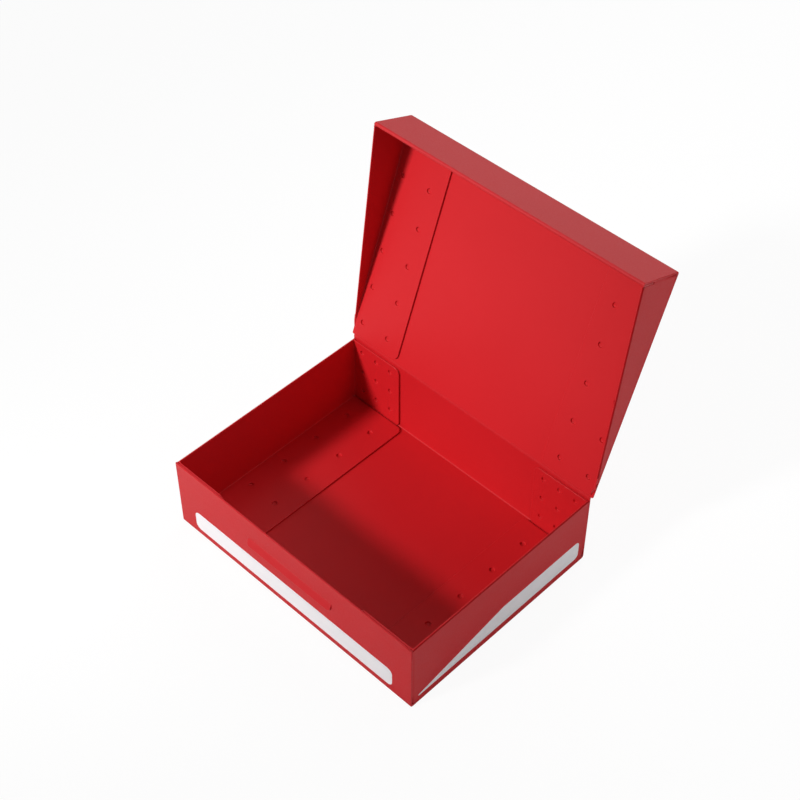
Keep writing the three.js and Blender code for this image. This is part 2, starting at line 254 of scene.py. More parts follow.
def folded_sheet(name, outline, place, u_lines, v_lines, holes=(), dents=(), half_at=None, back_at=None,
                 rounding_at=plain_rounding, move=None):
    """A sheet cut flat to outline, with holes, and folded by place.

    place(u, v) gives the middle of the sheet, its facing, and how far into a fold it lies.
    back_at(u, v) gives the depth and the facing of the sheet's back where it isn't half a sheet.
    rounding_at(spot, way, side) gives how far an edge's rounding reaches back, and how deep it goes; way is the
    way that leads into the sheet.
    """
    half_at = half_at or (lambda u, v: HALF_SHEET)
    back_at = back_at or (lambda u, v: (half_at(u, v), -place(u, v)[1]))
    move = move or Matrix.Identity(4)
    widest_at_outline = max(rounding_at(spot, way.normalized(), side)[0]
                            for spot, way in zip(outline, mitres(outline)) for side in (1, -1))
    insets = [widest_at_outline] + [EDGE_RADIUS for hole in holes]
    loops = [with_crossings(loop, u_lines, v_lines, back) for loop, back in zip((outline, *holes), insets)]
    ways = [mitres(loop) for loop in loops]
    inset = [[p + w * back for p, w in zip(loop, way)] for loop, way, back in zip(loops, ways, insets)]

    flat = [p for loop in inset for p in loop]
    edges, start = [], 0
    for loop in inset:
        edges += [(start + i, start + (i + 1) % len(loop)) for i in range(len(loop))]
        start += len(loop)
    for u in u_lines:
        for v in v_lines:
            if not inside((u, v), inset[0]) or any(inside((u, v), hole) for hole in inset[1:]):
                continue
            if min(distance_to((u, v), loop) for loop in inset) < GRID_CLEARANCE:
                continue
            if all((Vector((u, v)) - Vector(d)).length > DENT_RINGS[-1][0] + DENT_CLEARANCE for d in dents):
                flat.append(Vector((u, v)))
    # The lines of a fold stay edges of the mesh
    for axis, lines in ((0, u_lines), (1, v_lines)):
        for k, line in enumerate(lines):
            if all(abs(line - other) > DENSE_STEP for other in lines[max(0, k - 1):k] + lines[k + 1:k + 2]):
                continue
            row = sorted((p[1 - axis], i) for i, p in enumerate(flat) if abs(p[axis] - line) < SAME_PLACE)
            for (_, i), (_, j) in zip(row, row[1:]):
                middle = (flat[i] + flat[j]) / 2
                if inside(middle, inset[0]) and not any(crosses(flat[i], flat[j], loop) for loop in inset):
                    edges.append((i, j))
    for dent in dents:
        flat.append(Vector(dent))
        for radius, _, _ in DENT_RINGS:
            for k in range(DENT_SEGMENTS):
                angle = 2 * math.pi * k / DENT_SEGMENTS
                flat.append(Vector(dent) + radius * Vector((math.cos(angle), math.sin(angle))))

    found = delaunay_2d_cdt(flat, edges, [], 0, SAME_PLACE)
    spots, triangles, sources = found[0], found[2], found[3]
    new_place = {}
    for i, source in enumerate(sources):
        for s in source:
            new_place[s] = i
    kept = []
    for tri in triangles:
        centre = sum((spots[i] for i in tri), Vector((0, 0))) / len(tri)
        if inside(centre, inset[0]) and not any(inside(centre, hole) for hole in inset[1:]):
            kept.append(list(tri))

    verts, normals, fold_marks, faces, finishes = [], [], [], [], {}

    def add(u, v, height, facing):
        point, normal, fold = place(u, v)
        verts.append(move @ (point + normal * height))
        normals.append((move.to_3x3() @ facing).normalized())
        fold_marks.append(fold)
        return len(verts) - 1

    def tangent(u, v, way, reach=0.01):
        a = place(u + way[0] * reach, v + way[1] * reach)[0]
        b = place(u - way[0] * reach, v - way[1] * reach)[0]
        return (a - b).normalized()

    upper, lower = [], []
    for u, v in spots:
        normal = place(u, v)[1]
        height, facing = half_at(u, v), normal
        for dent in dents:
            away = Vector((u, v)) - Vector(dent)
            if away.length < DENT_RINGS[-1][0] + 1e-4:
                drop, slope = dent_at(away.length)
                height += drop
                if away.length > 1e-6:
                    facing = normal - tangent(u, v, away.normalized()) * slope
        upper.append(add(u, v, height, facing))
        depth, back_facing = back_at(u, v)
        lower.append(add(u, v, -depth, back_facing))
    for tri in kept:
        faces.append([upper[i] for i in tri])
        faces.append([lower[i] for i in reversed(tri)])

    start = 0
    for loop, way, widest in zip(loops, ways, insets):
        rings = [[upper[new_place[start + i]] for i in range(len(loop))]]
        strips = []
        wrapped = [rounding_at(p, w.normalized(), 1)[0] < 2 * END_RADII[0] for p, w in zip(loop, way)]
        # Roundings along a rim, whose outer steps get the painted shade line (material 2)
        pressed = [rounding_at(p, w.normalized(), -1) == RIM_ROUNDING for p, w in zip(loop, way)]
        for side in (1, -1):
            # A rounding that is narrower than the widest one starts with a flat strip
            roundings = [rounding_at(p, w.normalized(), side) for p, w in zip(loop, way)]
            first = 0 if min(reach for reach, _ in roundings) < widest * 0.99 else 1
            steps = range(first, EDGE_STEPS + 1) if side == 1 else range(EDGE_STEPS, first - 1, -1)
            for k in steps:
                angle = math.pi / 2 * k / EDGE_STEPS
                sin, cos = math.sin(angle), math.cos(angle)
                ring = []
                for p, w, (reach, drop) in zip(loop, way, roundings):
                    back = min(reach, widest * INSET_SHARE if first == 0 else widest) * (1 - sin)
                    at = p + w * back
                    out = tangent(p.x, p.y, -w.normalized())
                    if side == 1:
                        depth, normal = half_at(at.x, at.y), place(at.x, at.y)[1]
                    else:
                        depth, normal = back_at(at.x, at.y)
                    height = side * (depth - drop * (1 - cos))
                    ring.append(add(at.x, at.y, height, out * sin * drop + normal * cos * reach))
                rings.append(ring)
                # The first steps of a rim's outer rounding take the painted shade material
                rim_shading = side == -1 and k < RIM_SHADE_STEPS
                strips.append("flat" if side == 1 and k == 0 else "pressed" if rim_shading else "cut")
        rings.append([lower[new_place[start + i]] for i in range(len(loop))])
        strips.append("flat" if first == 0 else "cut")
        for a, b, strip in zip(rings, rings[1:], strips):
            for i in range(len(loop)):
                j = (i + 1) % len(loop)
                if strip != "flat" and not (wrapped[i] and wrapped[j]):
                    finishes[len(faces)] = 2 if strip == "pressed" and pressed[i] and pressed[j] else 1
                faces.append([a[i], b[i], b[j], a[j]])
        start += len(loop)

    mesh = bpy.data.meshes.new(name)
    mesh.from_pydata([v * MM for v in verts], [], faces)
    # The drawing's own handedness differs from sheet to sheet, so the faces are turned by the known normals
    polygon = mesh.polygons[0]
    if polygon.normal.dot(normals[polygon.vertices[0]]) < 0:
        mesh.flip_normals()
    mark = mesh.attributes.new("fold", "FLOAT", "POINT")
    mark.data.foreach_set("value", fold_marks)
    for polygon in mesh.polygons:
        polygon.use_smooth = True
    for index, finish in finishes.items():
        mesh.polygons[index].material_index = finish
    mesh.normals_split_custom_set_from_vertices([tuple(n) for n in normals])
    mesh.validate()
    piece = bpy.data.objects.new(name, mesh)
    bpy.context.scene.collection.objects.link(piece)
    return piece


def mirror_piece(piece, name):
    """The same piece on the other side of the box."""
    mesh = piece.data.copy()
    mesh.name = name
    normals = [Vector(c.vector) for c in mesh.corner_normals]
    by_vertex = {}
    for loop, normal in zip(mesh.loops, normals):
        by_vertex[loop.vertex_index] = (-normal.x, normal.y, normal.z)
    mesh.transform(Matrix.Scale(-1, 4, (1, 0, 0)))
    mesh.flip_normals()
    mesh.normals_split_custom_set_from_vertices([by_vertex[i] for i in range(len(mesh.vertices))])
    twin = bpy.data.objects.new(name, mesh)
    bpy.context.scene.collection.objects.link(twin)
    return twin


def along_path(segments):
    """A profile's fold: segments are ("line", length) and ("turn", radius, angle), from a start."""
    def walk(start, heading, facing_left, s):
        at, direction = Vector(start), heading
        for kind, *sizes in segments:
            length = sizes[0] if kind == "line" else sizes[0] * abs(sizes[1])
            last = s <= length + 1e-9
            way = Vector((math.cos(direction), math.sin(direction)))
            left = Vector((-way.y, way.x))
            if kind == "line":
                if last:
                    return at + way * s, left * facing_left, 0.0
                at = at + way * length
            else:
                radius, angle = sizes
                turn = 1 if angle > 0 else -1
                centre = at + left * (turn * radius)
                swept = min(s, length) / radius * turn
                spoke = at - centre
                cos, sin = math.cos(swept), math.sin(swept)
                at = centre + Vector((spoke.x * cos - spoke.y * sin, spoke.x * sin + spoke.y * cos))
                direction += swept
                if last:
                    way = Vector((math.cos(direction), math.sin(direction)))
                    fold = math.sin(math.pi * min(1, s / length))
                    return at, Vector((-way.y, way.x)) * facing_left, fold
            s -= length
        way = Vector((math.cos(direction), math.sin(direction)))
        return at + way * s, Vector((-way.y, way.x)) * facing_left, 0.0
    return walk


def fold_lines(start):
    return [start + BEND_RADIUS * math.radians(angle) for angle in FOLD_ANGLES]


def grid_with(low, high, dense):
    """Grid lines from low to high, with the dense lines kept and no other line close to them."""
    loose = [x for x in lines_between(low, high, GRID) if all(abs(x - d) > LINE_CLEARANCE for d in dense)]
    return sorted(loose + list(dense))


# The tray's main sheet: front wall, floor and back wall
FRONT_RUN = WALL_HEIGHT - FOLD_RADIUS
FLOOR_RUN = 2 * (HALF_DEPTH - FOLD_RADIUS)
BACK_RUN = HINGE.z - CREASE_REACH - FOLD_RADIUS
TRAY_RUN = FRONT_RUN + FOLD_LENGTH + FLOOR_RUN + FOLD_LENGTH + BACK_RUN
tray_walk = along_path([
    ("line", FRONT_RUN), ("turn", BEND_RADIUS, math.pi / 2),
    ("line", FLOOR_RUN), ("turn", BEND_RADIUS, math.pi / 2), ("line", BACK_RUN + 1),
])


def place_tray(u, v):
    """v runs down the front wall, back along the floor and up the back wall."""
    at, facing, fold = tray_walk((HALF_SHEET - HALF_DEPTH, WALL_HEIGHT), -math.pi / 2, 1, v)
    return Vector((u, at.x, at.y)), Vector((0, facing.x, facing.y)), fold


def wrapped_ends(spot, way, side):
    """At its two ends the main sheet rounds the box's corner, and its inside meets the side walls."""
    if way.y < -0.9 and spot.y > TRAY_RUN - 0.1:
        return JOIN_ROUNDING
    inner, outer = END_RADII
    radius = EDGE_RADIUS + way.x ** 2 * ((inner if side == 1 else outer) - EDGE_RADIUS)
    return radius, radius


def wrapped_above_hem(spot, way, side):
    """The same for the lid's sheet, up to its rim. The hem's ends are only cut."""
    if way.y > 0.9 and spot.y < 0.1:
        return JOIN_ROUNDING
    share = min(1, max(0, (HEM_START + HEM_TURN_LENGTH / 2 - spot.y) / HEM_TURN_LENGTH))
    radius = EDGE_RADIUS + share * (wrapped_ends(spot, way, side)[0] - EDGE_RADIUS)
    return radius, radius


def tray_sheet():
    outline = rounded([
        (-HALF_LENGTH, 0, 0), (HALF_LENGTH, 0, 0), (HALF_LENGTH, TRAY_RUN, 0), (-HALF_LENGTH, TRAY_RUN, 0),
    ])
    slot_half = TONGUE_HALF + LAP_GAP
    slot_top = WALL_HEIGHT - TONGUE_FOLD_Z - CREASE_REACH
    slot_foot = WALL_HEIGHT - TONGUE_FOLD_Z + TONGUE_DROP + LAP_GAP
    slot_radius = TONGUE_RADIUS + LAP_GAP
    slot = rounded([
        (-slot_half, slot_top, 0), (-slot_half, slot_foot, slot_radius),
        (slot_half, slot_foot, slot_radius), (slot_half, slot_top, 0),
    ])
    dense = fold_lines(FRONT_RUN) + fold_lines(FRONT_RUN + FOLD_LENGTH + FLOOR_RUN)
    u_lines = lines_between(-HALF_LENGTH, HALF_LENGTH, GRID)
    return folded_sheet("tray_sheet", outline, place_tray, u_lines, grid_with(0, TRAY_RUN, dense), holes=[slot],
                        rounding_at=wrapped_ends)


def corner_bend(distance):
    """How a flap leaves its wall: along the wall, towards the next panel, its facing and its fold."""
    if distance < FOLD_LENGTH:
        angle = distance / BEND_RADIUS
        inward = BEND_RADIUS * (1 - math.cos(angle))
        return inward, BEND_RADIUS * math.sin(angle), angle, math.sin(2 * angle)
    return BEND_RADIUS + distance - FOLD_LENGTH, BEND_RADIUS, math.pi / 2, 0.0


def outside_of_bend(distance, wall_facing, flap_facing):
    """The outside of a fold: it fills the corner that the main sheet leaves, as a fold creased flat does."""
    if distance >= FOLD_LENGTH - 1e-6:
        return HALF_SHEET, flap_facing
    angle = distance / BEND_RADIUS
    along_wall = FOLD_RADIUS / math.cos(angle)
    along_flap = CORNER_FILL / max(math.sin(angle), 1e-6)
    return min(along_wall, along_flap) - BEND_RADIUS, wall_facing if along_wall < along_flap + 0.01 else flap_facing


CORNER_FILL = FOLD_RADIUS + LAP_GAP - 0.02   # a flap's root, grown to fill the corner


def tray_rim(spot, way, side):
    """A side wall's rounding: wide outside along its rim, and small elsewhere."""
    at_rim = side == -1 and way.y < -0.9 and spot.y > FLAP_TOP + 0.1
    return RIM_ROUNDING if at_rim else (EDGE_RADIUS, EDGE_RADIUS)


def lid_rim(spot, way, side):
    """The same for a side wall of the lid, whose rim faces down when the lid is closed."""
    at_rim = side == -1 and way.y > 0.9 and spot.x > -LID_FOLD_Y - 0.5 and spot.y < LID_FOLD_Z - 0.5
    return RIM_ROUNDING if at_rim else (EDGE_RADIUS, EDGE_RADIUS)


def place_side(u, v):
    """The right side sheet: u runs back along the wall and v up it. Flaps lie beyond the folds."""
    wall_x = HALF_LENGTH - HALF_SHEET
    if abs(u) > SIDE_FOLD_Y:
        side = math.copysign(1, u)
        inward, along, angle, fold = corner_bend(abs(u) - SIDE_FOLD_Y)
        facing = Vector((-math.cos(angle), -side * math.sin(angle), 0))
        return Vector((wall_x - inward, side * (SIDE_FOLD_Y + along), v)), facing, fold
    if v < SIDE_FOLD_Z:
        inward, along, angle, fold = corner_bend(SIDE_FOLD_Z - v)
        facing = Vector((-math.cos(angle), 0, math.sin(angle)))
        return Vector((wall_x - inward, u, SIDE_FOLD_Z - along)), facing, fold
    return Vector((wall_x, u, v)), Vector((-1, 0, 0)), 0.0


def back_of_side(u, v):
    if abs(u) > SIDE_FOLD_Y:
        return outside_of_bend(abs(u) - SIDE_FOLD_Y, RIGHT, Vector((0, math.copysign(1, u), 0)))
    if v < SIDE_FOLD_Z:
        return outside_of_bend(SIDE_FOLD_Z - v, RIGHT, Vector((0, 0, -1)))
    return HALF_SHEET, RIGHT


def flat_reach(width):
    """From a wall's fold to its flap's free edge, on the flat sheet."""
    return FOLD_LENGTH + width - FOLD_RADIUS


def spread(first, last, count):
    return [first + (last - first) * i / (count - 1) for i in range(count)]


def on_flap(columns):
    """Columns of weld spots, from a wall's outside, as distances from the fold on the flat sheet."""
    return [FOLD_LENGTH + column - FOLD_RADIUS for column in columns]


def side_sheet():
    reach = SIDE_FOLD_Y + flat_reach(TRAY_FLAP_WIDTH)
    foot = SIDE_FOLD_Z - flat_reach(FLOOR_FLAP_WIDTH)
    relief = SIDE_FOLD_Y - LAP_GAP
    slit = SIDE_FOLD_Y + SLIT
    low = SIDE_FOLD_Z - CORNER_FILL
    leg = SIDE_FOLD_Y + FOLD_LENGTH
    notch_top, notch_foot = RIM_NOTCH_RADII
    outline = rounded([
        (-relief, foot, FLAP_CORNER_RADIUS), (relief, foot, FLAP_CORNER_RADIUS),
        (relief, SIDE_FOLD_Z, 0), (slit, SIDE_FOLD_Z, 0), (slit, low, 0),
        (reach, low, FLAP_CORNER_RADIUS), (reach, FLAP_TOP, FLAP_CORNER_RADIUS),
        (leg + RIM_NOTCH, FLAP_TOP, notch_foot), (leg, WALL_HEIGHT, notch_top),
        (-leg, WALL_HEIGHT, notch_top), (-leg - RIM_NOTCH, FLAP_TOP, notch_foot),
        (-reach, FLAP_TOP, FLAP_CORNER_RADIUS), (-reach, low, FLAP_CORNER_RADIUS),
        (-slit, low, 0), (-slit, SIDE_FOLD_Z, 0), (-relief, SIDE_FOLD_Z, 0),
    ])
    rows = spread(5.9, WALL_HEIGHT - 3.5, 3)
    dents = [(side * (SIDE_FOLD_Y + c), row)
             for side in (-1, 1) for c in on_flap(TRAY_FLAP_WELDS) for row in rows]
    floor_rows = spread(8 - SIDE_FOLD_Y, SIDE_FOLD_Y - 8, 5)
    dents += [(row, SIDE_FOLD_Z - c) for c in on_flap(FLOOR_FLAP_WELDS) for row in floor_rows]
    u_dense = fold_lines(SIDE_FOLD_Y) + [-x for x in fold_lines(SIDE_FOLD_Y)]
    v_dense = [SIDE_FOLD_Z - x for x in fold_lines(0)]
    return folded_sheet("right_side_sheet", outline, place_side, grid_with(-reach, reach, u_dense),
                        grid_with(foot, WALL_HEIGHT, v_dense), dents=dents, back_at=back_of_side,
                        rounding_at=tray_rim)


# The lid's sheets, drawn closed about the hinge line, then opened
OPENED = Matrix.Translation(HINGE) @ Matrix.Rotation(-OPEN_ANGLE, 4, "X")
PANEL_RUN = LID_DEPTH - FOLD_RADIUS - CREASE_REACH
LID_WALL_RUN = HALF_SHEET - FOLD_RADIUS - HEM_TURN
HEM_TURN_LENGTH = math.pi * HEM_BEND
HEM_START = PANEL_RUN + FOLD_LENGTH + LID_WALL_RUN
LID_RUN = HEM_START + HEM_TURN_LENGTH + HEM_TOP - HEM_TURN
lid_walk = along_path([
    ("line", PANEL_RUN), ("turn", BEND_RADIUS, math.pi / 2), ("line", LID_WALL_RUN),
    ("turn", HEM_BEND, math.pi), ("line", HEM_HEIGHT),
])


def place_lid(u, v):
    """v runs from the hinge along the panel, down the front wall and up the hem."""
    at, facing, fold = lid_walk((-CREASE_REACH, 0), math.pi, 1, v)
    return Vector((u, at.x, at.y)), Vector((0, facing.x, facing.y)), fold


def lid_sheet():
    outline = rounded([
        (-LID_HALF_LENGTH, 0, LID_CORNER_RADIUS), (LID_HALF_LENGTH, 0, LID_CORNER_RADIUS),
        (LID_HALF_LENGTH, LID_RUN, 0), (-LID_HALF_LENGTH, LID_RUN, 0),
    ])
    hem_lines = [HEM_START + HEM_TURN_LENGTH * k / 10 for k in range(11)]
    u_lines = lines_between(-LID_HALF_LENGTH, LID_HALF_LENGTH, GRID)
    v_lines = grid_with(0, LID_RUN, fold_lines(PANEL_RUN) + hem_lines)
    return folded_sheet("lid_sheet", outline, place_lid, u_lines, v_lines, rounding_at=wrapped_above_hem, move=OPENED)


def place_lid_side(u, v):
    """The right side of the lid: u runs from the hinge (0) to the front (negative), v up the wall."""
    wall_x = LID_HALF_LENGTH - HALF_SHEET
    if u < -LID_FOLD_Y:
        inward, along, angle, fold = corner_bend(-LID_FOLD_Y - u)
        facing = Vector((-math.cos(angle), math.sin(angle), 0))
        return Vector((wall_x - inward, -LID_FOLD_Y - along, v)), facing, fold
    if v > LID_FOLD_Z:
        inward, along, angle, fold = corner_bend(v - LID_FOLD_Z)
        facing = Vector((-math.cos(angle), 0, -math.sin(angle)))
        return Vector((wall_x - inward, u, LID_FOLD_Z + along)), facing, fold
    return Vector((wall_x, u, v)), Vector((-1, 0, 0)), 0.0


def back_of_lid_side(u, v):
    if u < -LID_FOLD_Y:
        return outside_of_bend(-LID_FOLD_Y - u, RIGHT, Vector((0, -1, 0)))
    if v > LID_FOLD_Z:
        return outside_of_bend(v - LID_FOLD_Z, RIGHT, Vector((0, 0, 1)))
    return HALF_SHEET, RIGHT


def lid_side_sheet():
    low = HEM_TOP + LAP_GAP
    reach = -LID_FOLD_Y - flat_reach(CORNER_FLAP_WIDTH)
    top = LID_FOLD_Z + flat_reach(LID_FLAP_WIDTH)
    relief = LAP_GAP - LID_FOLD_Y
    slit = -LID_FOLD_Y - SLIT
    high = LID_FOLD_Z + CORNER_FILL
    hem_face = 2 * HEM_BEND + SHEET - LID_DEPTH
    # The wall tapers to nothing at the hinge: its cut runs out through the fold
    outline = rounded([
        (hem_face + LAP_GAP, LID_RIM, 0), (-FLAP_HINGE_GAP, LID_FOLD_Z + FOLD_LENGTH, LID_TAPER_RADIUS),
        (-FLAP_HINGE_GAP, top, FLAP_CORNER_RADIUS), (relief, top, FLAP_CORNER_RADIUS),
        (relief, LID_FOLD_Z, 0), (slit, LID_FOLD_Z, 0), (slit, high, 0),
        (reach, high, FLAP_CORNER_RADIUS), (reach, low, FLAP_CORNER_RADIUS), (hem_face + LAP_GAP, low, 0.1),
    ])
    rows = spread(-6.1, 16.265 - LID_FOLD_Y, 5)
    dents = [(row, LID_FOLD_Z + c) for c in on_flap(LID_FLAP_WELDS) for row in rows]
    dents += [(-LID_FOLD_Y - c, z) for c in on_flap(CORNER_FLAP_WELDS) for z in (low + 3.4, LID_FOLD_Z - 3.4)]
    u_dense = [-LID_FOLD_Y - x for x in fold_lines(0)]
    return folded_sheet("lid_right_side_sheet", outline, place_lid_side, grid_with(reach, -FLAP_HINGE_GAP, u_dense),
                        grid_with(LID_RIM, top, fold_lines(LID_FOLD_Z)), dents=dents, back_at=back_of_lid_side,
                        rounding_at=lid_rim, move=OPENED)


def eased(share):
    """A share from 0 to 1 that sets off and arrives softly."""
    share = min(1.0, max(0.0, share))
    return share * share * (3 - 2 * share)


def bent_about(pivot, angle_at, fold_at):
    """A narrow sheet that bends about a pivot: v is the distance up from the pivot when it is flat."""
    def place(u, v):
        angle = angle_at(v)
        cos, sin = math.cos(angle), math.sin(angle)
        at = Vector((u, pivot.y - v * sin, pivot.z + v * cos))
        return at, Vector((0, -cos, -sin)), fold_at(v)
    return place


def hinge_web():
    """The creased strip of sheet between the back wall and the lid, thinned by the crease."""
    reach = CREASE_REACH - WEB_END_GAP
    place = bent_about(HINGE, lambda v: -LEAN * eased((v + CREASE_REACH) / (2 * CREASE_REACH)),
                       lambda v: 0.7 * math.cos(math.pi / 2 * min(1, abs(v) / reach)))
    narrow = min(HALF_LENGTH, LID_HALF_LENGTH - LID_CORNER_RADIUS)
    outline = rounded([
        (-HALF_LENGTH, -reach, 0), (HALF_LENGTH, -reach, 0), (narrow, reach, 0), (-narrow, reach, 0),
    ])
    lines = lines_between(-reach, reach, 0.07)

    def half_at(u, v):
        return HALF_SHEET - CREASE_DEPTH * math.cos(math.pi / 2 * min(1, abs(v) / reach)) ** 2
    return folded_sheet("hinge_web", outline, place, lines_between(-HALF_LENGTH, HALF_LENGTH, GRID), lines,
                        half_at=half_at, rounding_at=lambda spot, way, side: JOIN_ROUNDING)


def snap_tongue():
    """The tongue leaves the wall in a soft bend, and hangs out at its foot."""
    place = bent_about(TONGUE_FOLD, lambda v: -TONGUE_OUT * eased((CREASE_REACH - v) / (2 * CREASE_REACH)),
                       lambda v: 0.6 if v > -CREASE_REACH else 0)
    top = CREASE_REACH - TONGUE_END_GAP
    outline = rounded([
        (-TONGUE_HALF, -TONGUE_DROP, TONGUE_RADIUS), (TONGUE_HALF, -TONGUE_DROP, TONGUE_RADIUS),
        (TONGUE_HALF, top, 0), (-TONGUE_HALF, top, 0),
    ])
    dense = lines_between(-CREASE_REACH, top, 0.09)
    return folded_sheet("snap_tongue_sheet", outline, place, lines_between(-TONGUE_HALF, TONGUE_HALF, GRID),
                        sorted(dense + lines_between(-TONGUE_DROP, -CREASE_REACH - 0.3, 0.4)))


# Finishes

def linear(hex_colour):
    """An sRGB hex colour as the linear values that a shader takes."""
    parts = [int(hex_colour[i:i + 2], 16) / 255 for i in (1, 3, 5)]
    return tuple([p / 12.92 if p <= 0.04045 else ((p + 0.055) / 1.055) ** 2.4 for p in parts] + [1.0])


def node(tree, kind, settings=None, inputs=None, links=None):
    """Adds a node, sets its properties and sockets, and links (socket: (node, output))."""
    made = tree.nodes.new(kind)
    for key, value in (settings or {}).items():
        setattr(made, key, value)
    for key, value in (inputs or {}).items():
        made.inputs[key].default_value = value
    for key, (source, output) in (links or {}).items():
        tree.links.new(source.outputs[output], made.inputs[key])
    return made


def per_metre(millimetres):
    """A noise scale whose cells are about this wide."""
    return 1 / (millimetres * MM)


def new_material(name):
    material = bpy.data.materials.new(name)
    material.use_nodes = True
    material.node_tree.nodes.clear()
    return material, material.node_tree


def frosted_polypropylene():
    """Red polypropylene sheet, calendered with a fine frosted grain: a soft, slightly hazy sheen.
    Folding whitens it a little along the creases."""
    material, tree = new_material("frosted_polypropylene")
    where = node(tree, "ShaderNodeTexCoord")
    # Pigment streaks of the extruded sheet, tens of millimetres long and barely there
    cloud = node(tree, "ShaderNodeTexNoise", None, {"Scale": per_metre(35), "Detail": 2.0, "Roughness": 0.5},
                 {"Vector": (where, "Object")})
    tint = node(tree, "ShaderNodeMix", {"data_type": "RGBA"},
                {"A": linear("#C61A20"), "B": linear("#CE1E25")}, {"Factor": (cloud, "Fac")})
    # Stress whitening on the folds
    fold = node(tree, "ShaderNodeAttribute", {"attribute_name": "fold"})
    blush = node(tree, "ShaderNodeMath", {"operation": "MULTIPLY"}, {1: 0.08}, {0: (fold, "Fac")})
    coloured = node(tree, "ShaderNodeMix", {"data_type": "RGBA"}, {"B": linear("#E0646A")},
                    {"A": (tint, "Result"), "Factor": (blush, 0)})
    # The real grain is about 0.1 mm: 0.45 mm is the finest that shows here
    grain = node(tree, "ShaderNodeTexNoise", None, {"Scale": per_metre(0.45), "Detail": 3.0, "Roughness": 0.6},
                 {"Vector": (where, "Object")})
    rough = node(tree, "ShaderNodeMapRange", None,
                 {"From Min": 0.3, "From Max": 0.7, "To Min": 0.40, "To Max": 0.50}, {"Value": (grain, "Fac")})
    # A crease is matter than the sheet beside it
    matt = node(tree, "ShaderNodeMath", {"operation": "MULTIPLY_ADD"}, {1: 0.15},
                {0: (fold, "Fac"), 2: (rough, "Result")})
    bump = node(tree, "ShaderNodeBump", None, {"Strength": 0.10, "Distance": 0.02 * MM}, {"Height": (grain, "Fac")})
    shader = node(tree, "ShaderNodeBsdfPrincipled", None, {"IOR": 1.49, "Specular IOR Level": 0.25, "Metallic": 0.0},
                  {"Base Color": (coloured, "Result"), "Roughness": (matt, 0), "Normal": (bump, "Normal")})
    node(tree, "ShaderNodeOutputMaterial", None, None, {"Surface": (shader, "BSDF")})
    return material


def cut_edge_highlight_polypropylene():
    """The same sheet where the die cut it: smoother, with faint cutting marks, and a slightly paler red that is a
    painted highlight along the cut rims.
    """
    material, tree = new_material("cut_edge_highlight_polypropylene")
    where = node(tree, "ShaderNodeTexCoord")
    marks = node(tree, "ShaderNodeTexNoise", None, {"Scale": per_metre(0.6), "Detail": 2.0},
                 {"Vector": (where, "Object")})
    # The paler red is a painted highlight on the cut edges
    tint = node(tree, "ShaderNodeMix", {"data_type": "RGBA"},
                {"A": linear("#C92228"), "B": linear("#D1282E")}, {"Factor": (marks, "Fac")})
    bump = node(tree, "ShaderNodeBump", None, {"Strength": 0.15, "Distance": 0.02 * MM}, {"Height": (marks, "Fac")})
    shader = node(tree, "ShaderNodeBsdfPrincipled", None,
                  {"IOR": 1.49, "Specular IOR Level": 0.25, "Roughness": 0.35, "Metallic": 0.0},
                  {"Base Color": (tint, "Result"), "Normal": (bump, "Normal")})
    node(tree, "ShaderNodeOutputMaterial", None, None, {"Surface": (shader, "BSDF")})
    return material


def rim_shade_polypropylene():
    """The same sheet outside along the rims: a deep red line without haze, painted shade where the rims' rounding
    turns away from the light.
    """
    material, tree = new_material("rim_shade_polypropylene")
    where = node(tree, "ShaderNodeTexCoord")
    marks = node(tree, "ShaderNodeTexNoise", None, {"Scale": per_metre(0.8), "Detail": 2.0},
                 {"Vector": (where, "Object")})
    # Darker than the faces: painted shade along the rims' outer rounding
    tint = node(tree, "ShaderNodeMix", {"data_type": "RGBA"},
                {"A": linear("#A80A10"), "B": linear("#B20E14")}, {"Factor": (marks, "Fac")})
    shader = node(tree, "ShaderNodeBsdfPrincipled", None,
                  {"IOR": 1.49, "Specular IOR Level": 0.05, "Roughness": 0.3, "Metallic": 0.0},
                  {"Base Color": (tint, "Result")})
    node(tree, "ShaderNodeOutputMaterial", None, None, {"Surface": (shader, "BSDF")})
    return material


def screen_print():
    """Opaque white screen-printing ink: an even satin film with a faint mesh texture."""
    material, tree = new_material("white_screen_print")
    where = node(tree, "ShaderNodeTexCoord")
    weave = node(tree, "ShaderNodeTexNoise", None, {"Scale": per_metre(0.5), "Detail": 2.0},
                 {"Vector": (where, "Object")})
    tint = node(tree, "ShaderNodeMix", {"data_type": "RGBA"},
                {"A": linear("#F6F5F8"), "B": linear("#FAF9FB")}, {"Factor": (weave, "Fac")})
    bump = node(tree, "ShaderNodeBump", None, {"Strength": 0.08, "Distance": 0.01 * MM}, {"Height": (weave, "Fac")})
    shader = node(tree, "ShaderNodeBsdfPrincipled", None, {"IOR": 1.5, "Roughness": 0.5, "Metallic": 0.0},
                  {"Base Color": (tint, "Result"), "Normal": (bump, "Normal")})
    node(tree, "ShaderNodeOutputMaterial", None, None, {"Surface": (shader, "BSDF")})
    return material


SHEET_FACE = frosted_polypropylene()
SHEET_EDGE = cut_edge_highlight_polypropylene()
RIM_SHADE_EDGE = rim_shade_polypropylene()
PRINT = screen_print()


def finish_sheet(piece, replaced, body=None):
    """Gives a sheet its finishes, hides the frame's nodes that it replaces, and hangs it on its body."""
    for material in (SHEET_FACE, SHEET_EDGE, RIM_SHADE_EDGE):
        piece.data.materials.append(material)
    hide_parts(*replaced)
    if body:
        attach(piece, body)
    return piece


finish_sheet(tray_sheet(), ["floor_panel", "front_wall", "back_wall"], "tray")
right_side = side_sheet()
left_side = mirror_piece(right_side, "left_side_sheet")
for side, piece in (("left", left_side), ("right", right_side)):
    names = [f"{side}_{part}" for part in ("wall", "back_flap", "front_flap", "floor_flap")]
    finish_sheet(piece, names, "tray")

